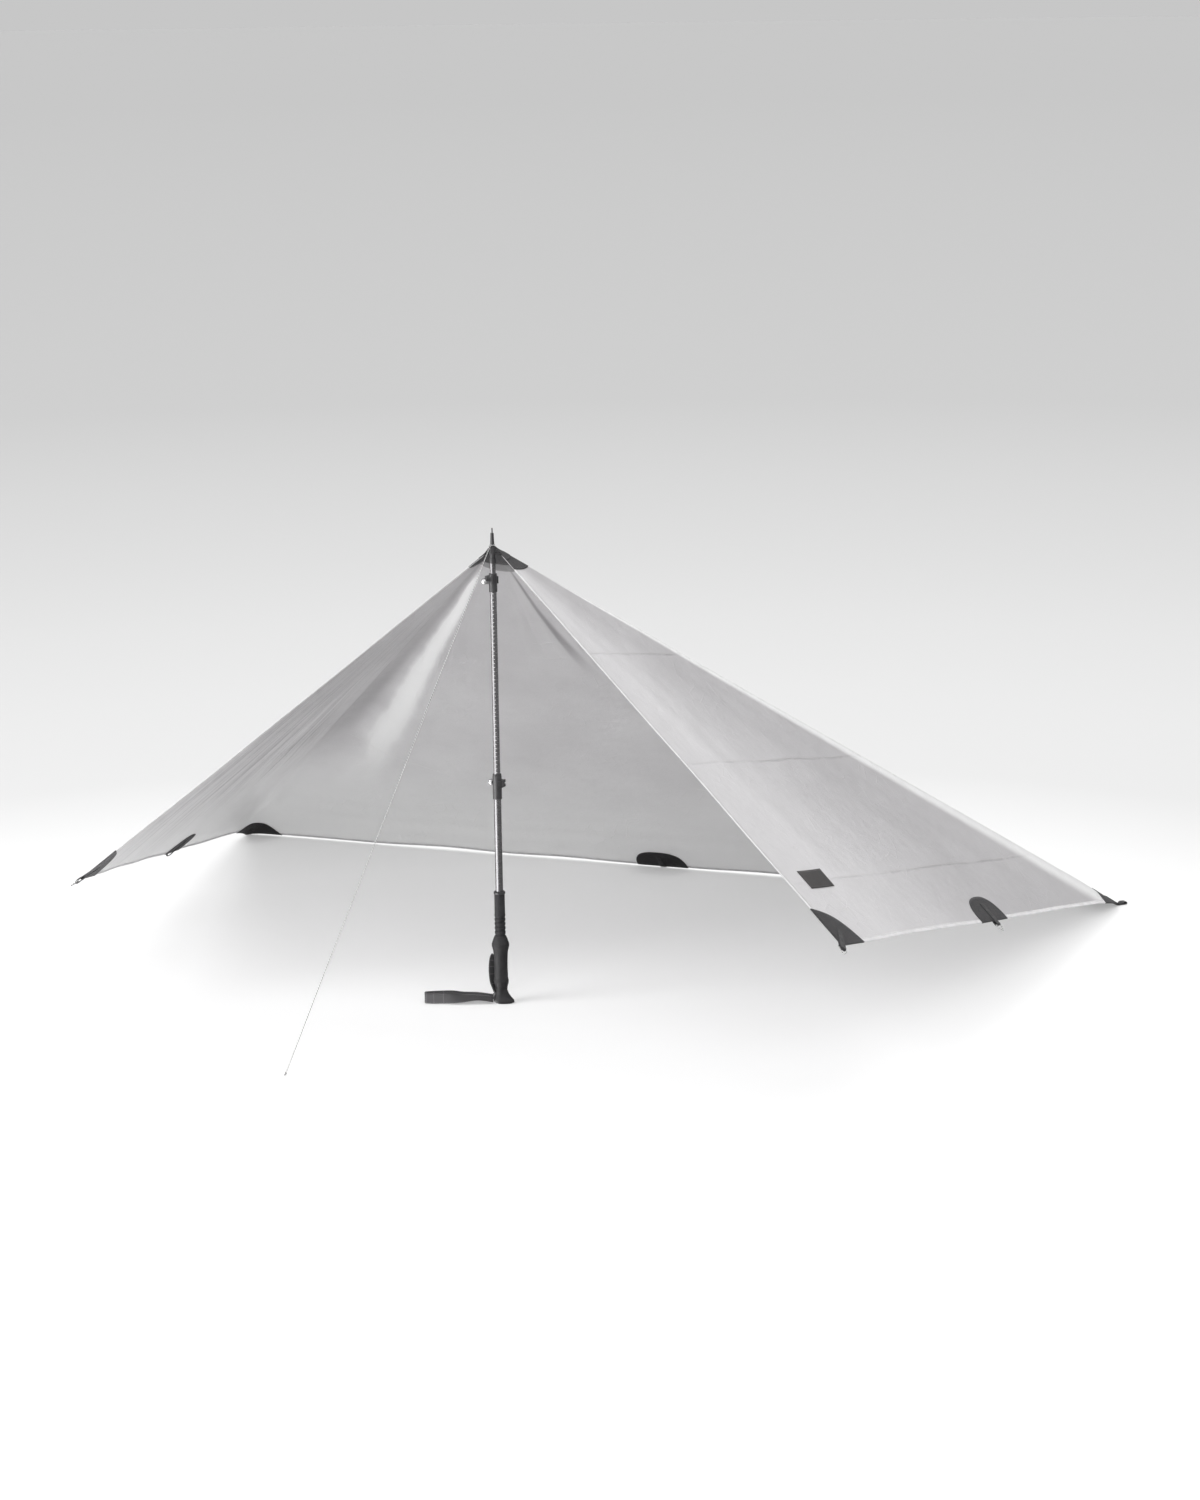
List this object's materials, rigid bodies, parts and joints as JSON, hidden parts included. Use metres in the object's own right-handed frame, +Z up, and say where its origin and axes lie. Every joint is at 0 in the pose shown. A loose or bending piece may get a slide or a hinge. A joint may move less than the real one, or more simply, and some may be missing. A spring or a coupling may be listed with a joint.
{
  "type": "camping tarp on a trekking pole",
  "caption": "Flat laminate tarp pitched as an open-fronted half pyramid on an upturned telescoping pole, with sewn corner patches, webbing tie-outs and a guyline.",
  "frame": {"origin": "on the ground at the middle of the pole's foot", "axes": "+X to the right seen from the open front, +Y towards the back hem, +Z up along the pole"},
  "size_m": [2.6462, 1.9895, 1.183],
  "materials": {
    "laminate": "satin, slightly see-through",
    "patch_fabric": "matte",
    "label_fabric": "matte",
    "webbing": "matte",
    "flecked_cord": "light and dark flecks",
    "anodised_alloy": "black anodised, satin",
    "black_plastic": "satin",
    "bright_steel": "bright",
    "grip_rubber": "matte",
    "grip_foam": "matte, ribbed"
  },
  "bodies": {
    "canopy": {"tarp_sheet": "laminate", "corner_patch_front_left": "patch_fabric", "corner_patch_front_right": "patch_fabric", "corner_patch_back_left": "patch_fabric", "corner_patch_back_right": "patch_fabric", "edge_patch_left": "patch_fabric", "edge_patch_right": "patch_fabric", "edge_patch_back": "patch_fabric", "peak_patch_outer": "patch_fabric", "peak_patch_inner": "patch_fabric", "blank_label": "label_fabric", "tie_loop_front_left": "webbing", "tie_loop_front_right": "webbing", "tie_loop_side_left": "webbing", "tie_loop_side_right": "webbing", "tie_loop_back_left": "webbing", "tie_loop_back_right": "webbing", "tie_loop_back": "webbing", "peak_sleeve": "webbing", "peak_cap": "patch_fabric", "cord_loop_front_left": "flecked_cord", "cord_loop_front_right": "flecked_cord", "cord_loop_side_right": "flecked_cord", "guyline": "flecked_cord", "guyline_top_loop": "flecked_cord", "guyline_top_knot": "flecked_cord", "guyline_end_knot": "flecked_cord", "tip_insert": "bright_steel", "tip_ferrule": "black_plastic", "lower_shaft": "anodised_alloy", "lower_shaft_bush": "black_plastic"},
    "middle_section": {"middle_shaft": "anodised_alloy", "middle_shaft_bush": "black_plastic", "high_lock_collar": "black_plastic", "high_lock_bolt": "bright_steel", "high_lock_pin": "bright_steel"},
    "handle_section": {"upper_shaft": "anodised_alloy", "low_lock_collar": "black_plastic", "low_lock_bolt": "bright_steel", "low_lock_pin": "bright_steel", "grip_ring": "black_plastic", "grip_extension": "grip_foam", "grip_handle": "grip_rubber", "grip_head": "grip_rubber", "strap_wedge": "black_plastic", "wrist_strap": "webbing", "strap_tail": "webbing"},
    "high_lever": {"high_lock_lever": "black_plastic"},
    "high_nut": {"high_lock_nut": "bright_steel"},
    "low_lever": {"low_lock_lever": "black_plastic"},
    "low_nut": {"low_lock_nut": "bright_steel"}
  },
  "joints": [
    {"name": "lower_slide", "type": "slide", "parent": "canopy", "child": "middle_section", "axis": [0, 0, 1], "range_m": [-0.22, 0.024]},
    {"name": "upper_slide", "type": "slide", "parent": "middle_section", "child": "handle_section", "axis": [0, 0, 1], "range_m": [-0.04, 0.355]},
    {"name": "high_lever_hinge", "type": "hinge", "parent": "middle_section", "child": "high_lever", "pos_m": [-0.0141, 0.0108, 1.057], "axis": [0, 0, 1], "range_deg": [0, 120]},
    {"name": "high_nut_turn", "type": "hinge", "parent": "middle_section", "child": "high_nut", "pos_m": [-0.0141, 0, 1.057], "axis": [0, 1, 0], "continuous": true},
    {"name": "low_lever_hinge", "type": "hinge", "parent": "handle_section", "child": "low_lever", "pos_m": [0.0108, 0.0151, 0.555], "axis": [0, 0, 1], "range_deg": [0, 120]},
    {"name": "low_nut_turn", "type": "hinge", "parent": "handle_section", "child": "low_nut", "pos_m": [0, 0.0151, 0.555], "axis": [1, 0, 0], "continuous": true}
  ]
}
